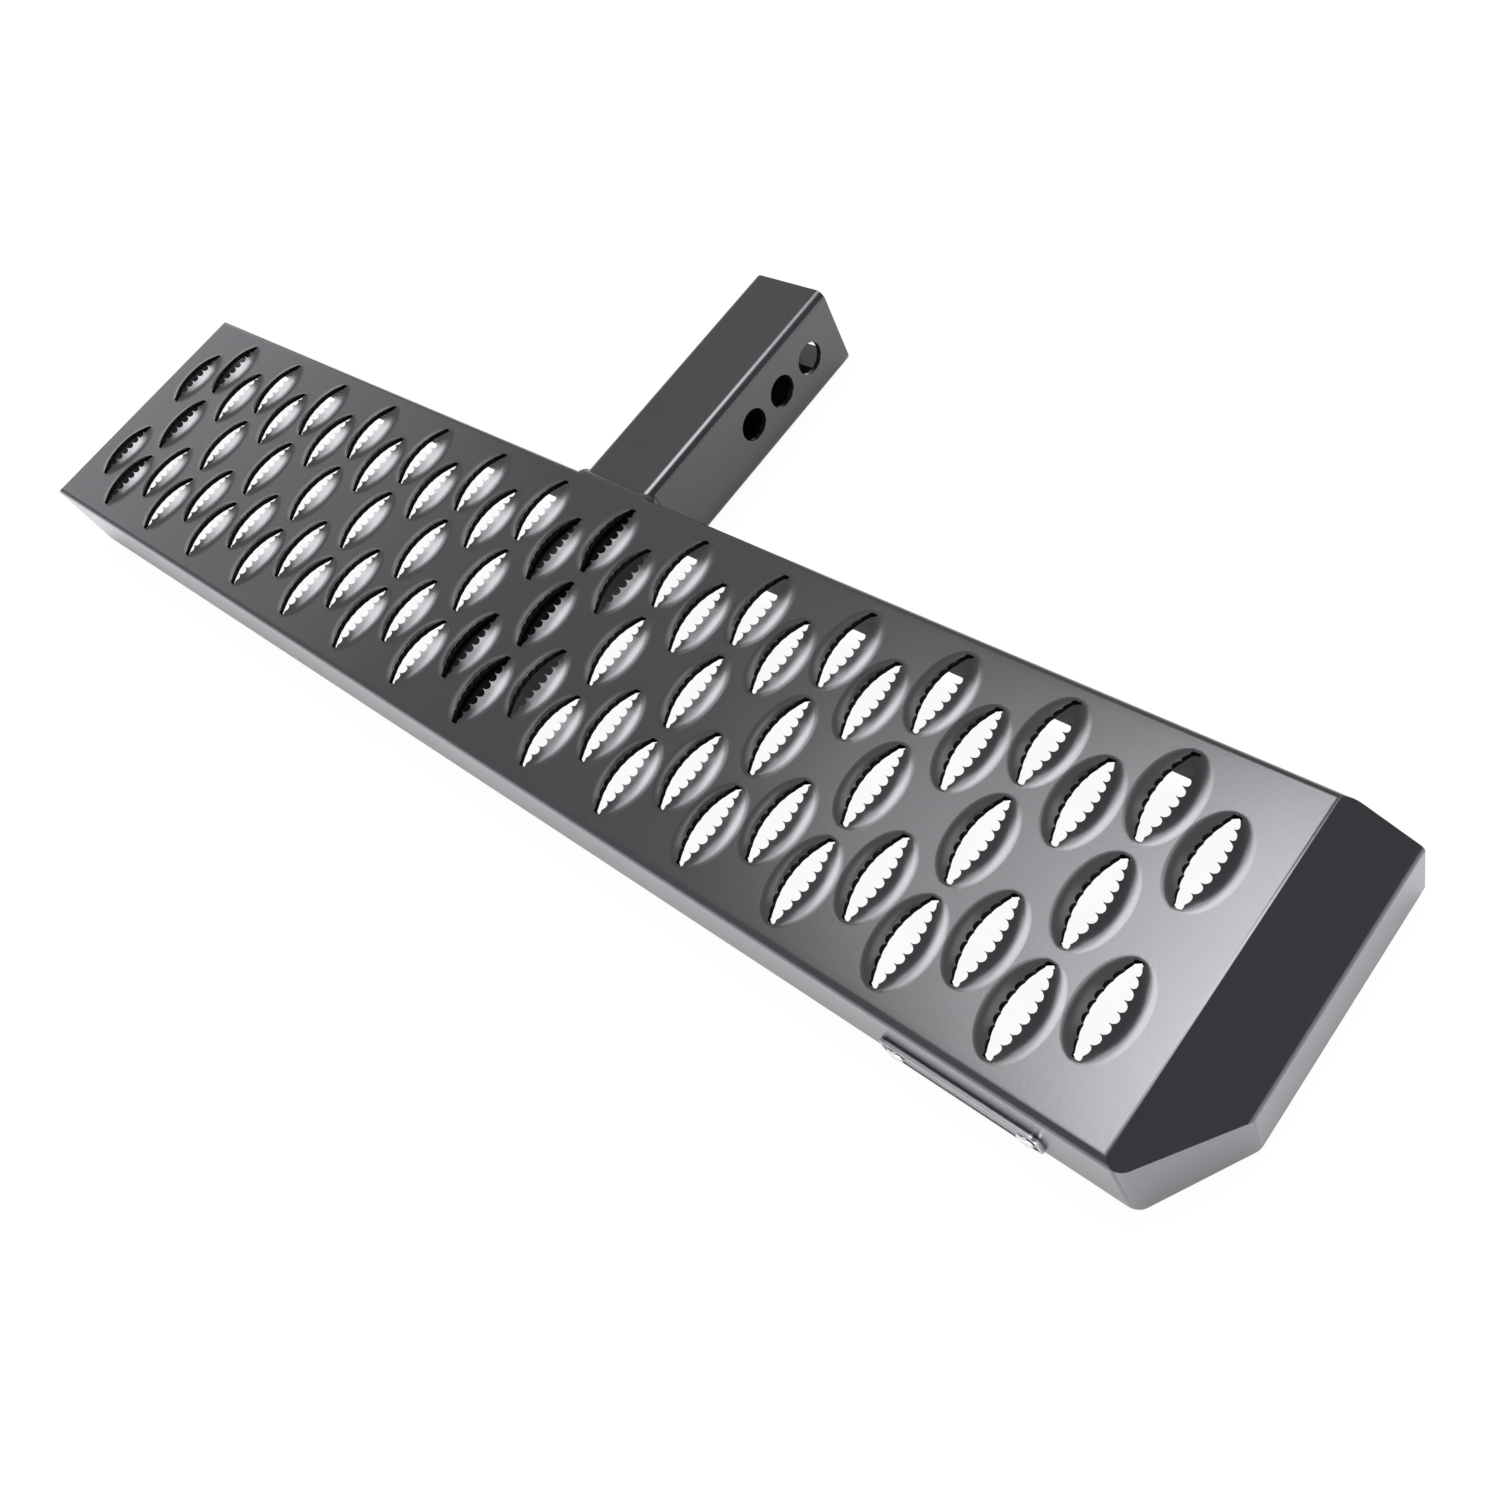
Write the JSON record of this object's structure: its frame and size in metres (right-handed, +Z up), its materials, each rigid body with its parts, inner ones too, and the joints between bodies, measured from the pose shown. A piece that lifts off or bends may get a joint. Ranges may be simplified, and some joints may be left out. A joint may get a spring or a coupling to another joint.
{
  "type": "hitch receiver step",
  "caption": "Folded steel step deck with raised serrated grip eyes, sloped ends and cut front corners, welded over a square hitch tube with cross holes for a pin.",
  "frame": {"origin": "the centre of the hitch tube's open end, on the tube's centre line", "axes": "+X along the deck and along the pin holes, +Y out of the tube's open end towards the vehicle, +Z up from the tube to the deck's top"},
  "size_m": [0.8636, 0.3202, 0.0574],
  "materials": {
    "deck_coat": "satin black powder coat, finely textured",
    "tube_coat": "satin black powder coat, finely textured",
    "weld_coat": "satin black powder coat over a weld bead",
    "plate_metal": "black painted plate with a thin bare rim",
    "rivet_metal": "bare domed heads"
  },
  "bodies": {
    "root": {"step_deck": "deck_coat", "hitch_tube": "tube_coat", "tube_weld": "weld_coat", "nameplate": "plate_metal", "nameplate_rivets": "rivet_metal"}
  },
  "joints": []
}
